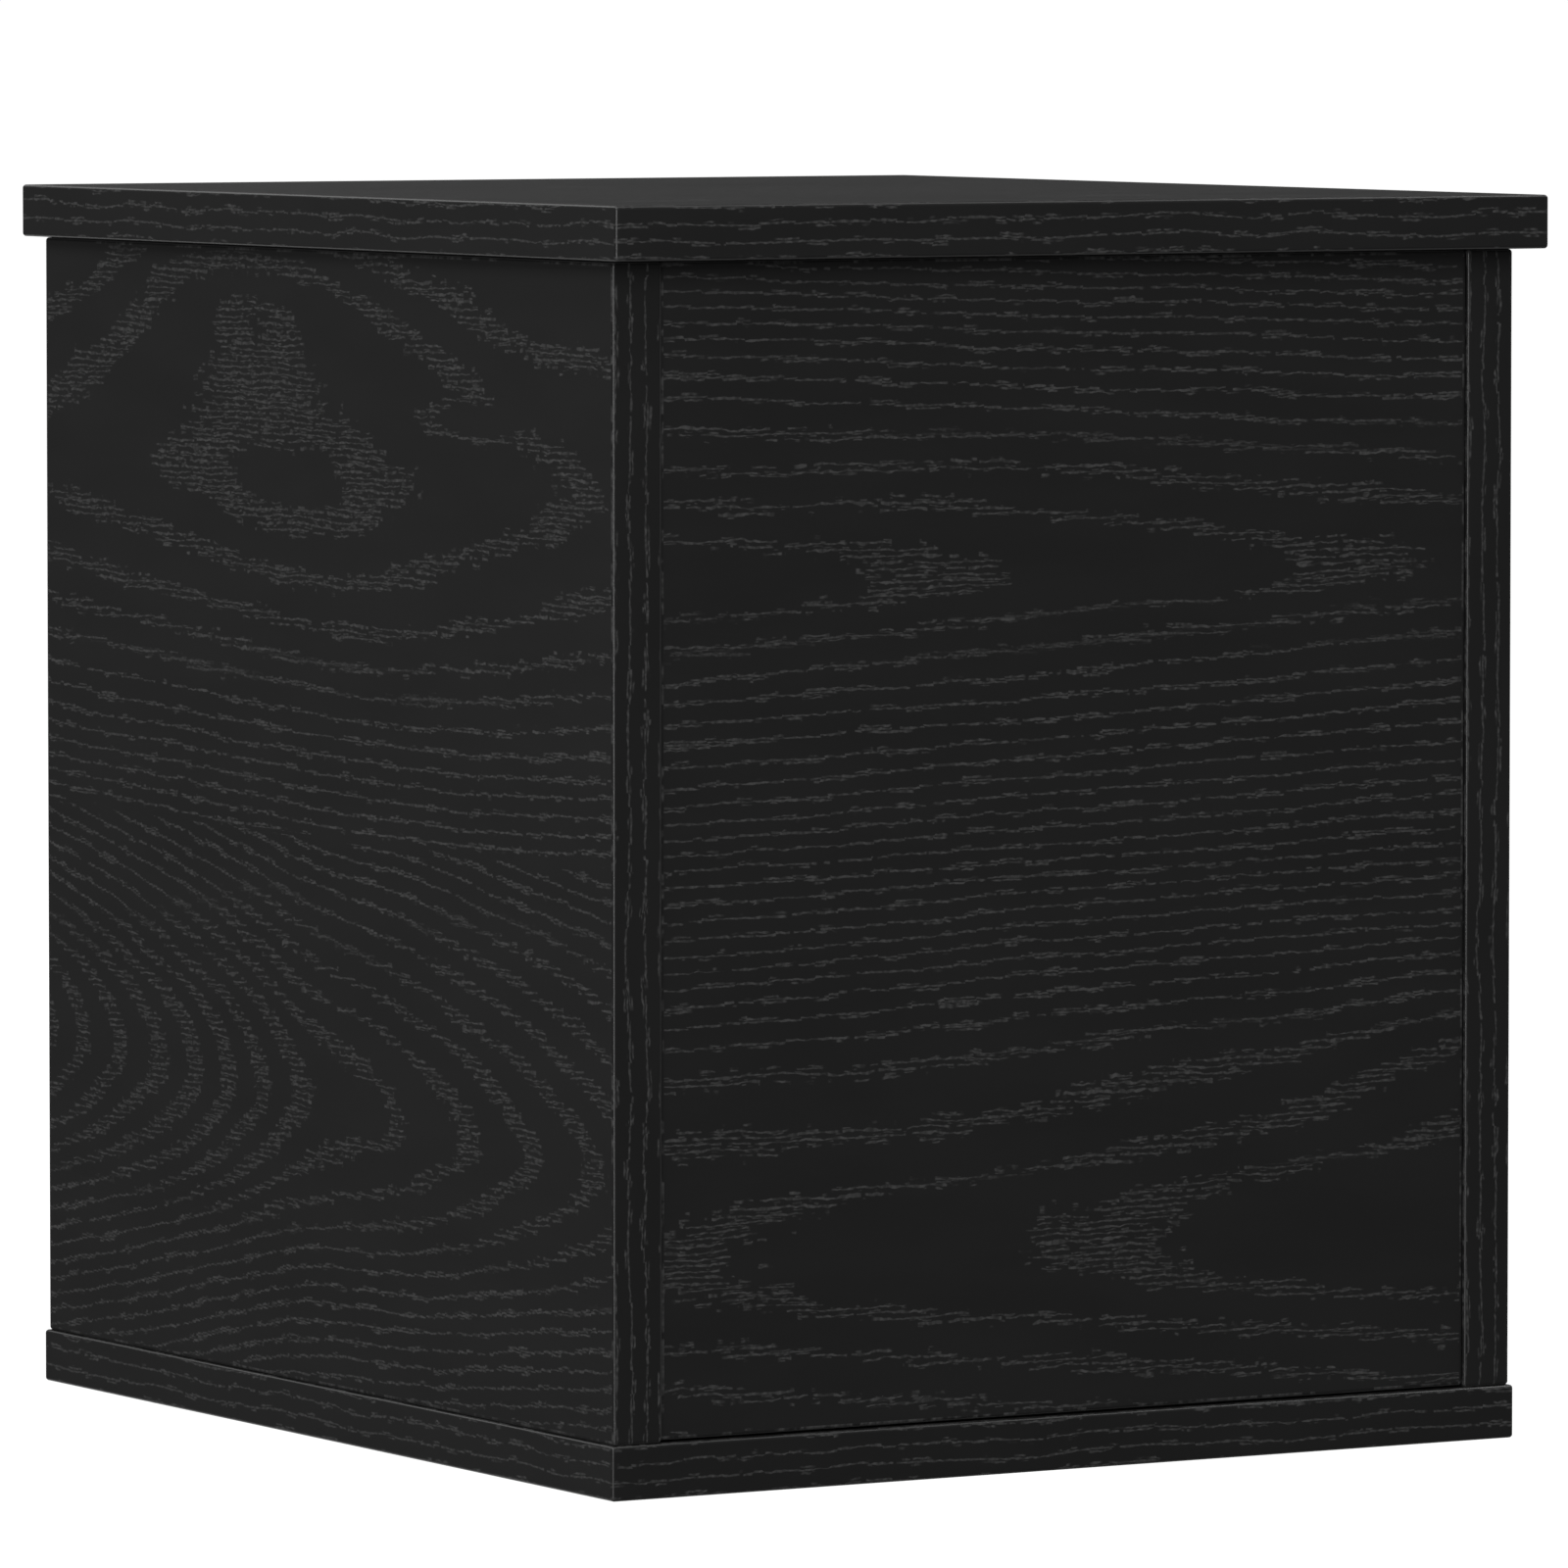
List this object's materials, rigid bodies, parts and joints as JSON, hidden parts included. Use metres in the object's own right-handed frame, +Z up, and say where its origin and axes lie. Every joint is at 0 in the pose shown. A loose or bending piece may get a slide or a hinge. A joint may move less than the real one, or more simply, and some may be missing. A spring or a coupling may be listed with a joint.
{
  "type": "storage box",
  "caption": "Upright rectangular storage box of black oak-grained laminated board with a rear-hinged lid that overhangs the walls and a slightly proud base.",
  "frame": {"origin": "on the floor, under the middle of the lid", "axes": "+Z up, -Y towards the front with the lid's wider lip, +X towards the right-hand side as seen from the front"},
  "size_m": [0.3, 0.35, 0.35],
  "materials": {
    "black_oak_laminate": "matt black melamine with pressed oak pores",
    "edge_banding": "matt black oak-grained edge strip",
    "hinge_steel": "zinc plated",
    "hinge_screw_steel": "zinc plated",
    "cam_zinc": "die-cast zinc alloy",
    "fitting_steel": "zinc plated",
    "beech_dowel": "raw beech"
  },
  "bodies": {
    "box": {"back_leaf_screws": "hinge_screw_steel", "back_panel": "black_oak_laminate", "back_panel_bottom_edge_band": "edge_banding", "back_panel_left_edge_band": "edge_banding", "back_panel_right_edge_band": "edge_banding", "back_panel_top_edge_band": "edge_banding", "base_board": "black_oak_laminate", "base_front_edge_band": "edge_banding", "base_left_edge_band": "edge_banding", "base_rear_edge_band": "edge_banding", "base_right_edge_band": "edge_banding", "base_screws": "fitting_steel", "cam_bolts": "fitting_steel", "cam_locks": "cam_zinc", "dowels": "beech_dowel", "front_panel": "black_oak_laminate", "front_panel_bottom_edge_band": "edge_banding", "front_panel_left_edge_band": "edge_banding", "front_panel_right_edge_band": "edge_banding", "front_panel_top_edge_band": "edge_banding", "left_hinge_back_leaf": "hinge_steel", "left_hinge_pin": "hinge_steel", "left_side_bottom_edge_band": "edge_banding", "left_side_front_edge_band": "edge_banding", "left_side_panel": "black_oak_laminate", "left_side_rear_edge_band": "edge_banding", "left_side_top_edge_band": "edge_banding", "right_hinge_back_leaf": "hinge_steel", "right_hinge_pin": "hinge_steel", "right_side_bottom_edge_band": "edge_banding", "right_side_front_edge_band": "edge_banding", "right_side_panel": "black_oak_laminate", "right_side_rear_edge_band": "edge_banding", "right_side_top_edge_band": "edge_banding"},
    "lid": {"left_hinge_lid_leaf": "hinge_steel", "lid_board": "black_oak_laminate", "lid_front_edge_band": "edge_banding", "lid_leaf_screws": "hinge_screw_steel", "lid_left_edge_band": "edge_banding", "lid_rear_edge_band": "edge_banding", "lid_right_edge_band": "edge_banding", "right_hinge_lid_leaf": "hinge_steel"}
  },
  "joints": [
    {"name": "lid_hinge", "type": "hinge", "parent": "box", "child": "lid", "pos_m": [0, 0.1705, 0.33485], "axis": [-1, 0, 0], "range_deg": [0, 95]}
  ]
}
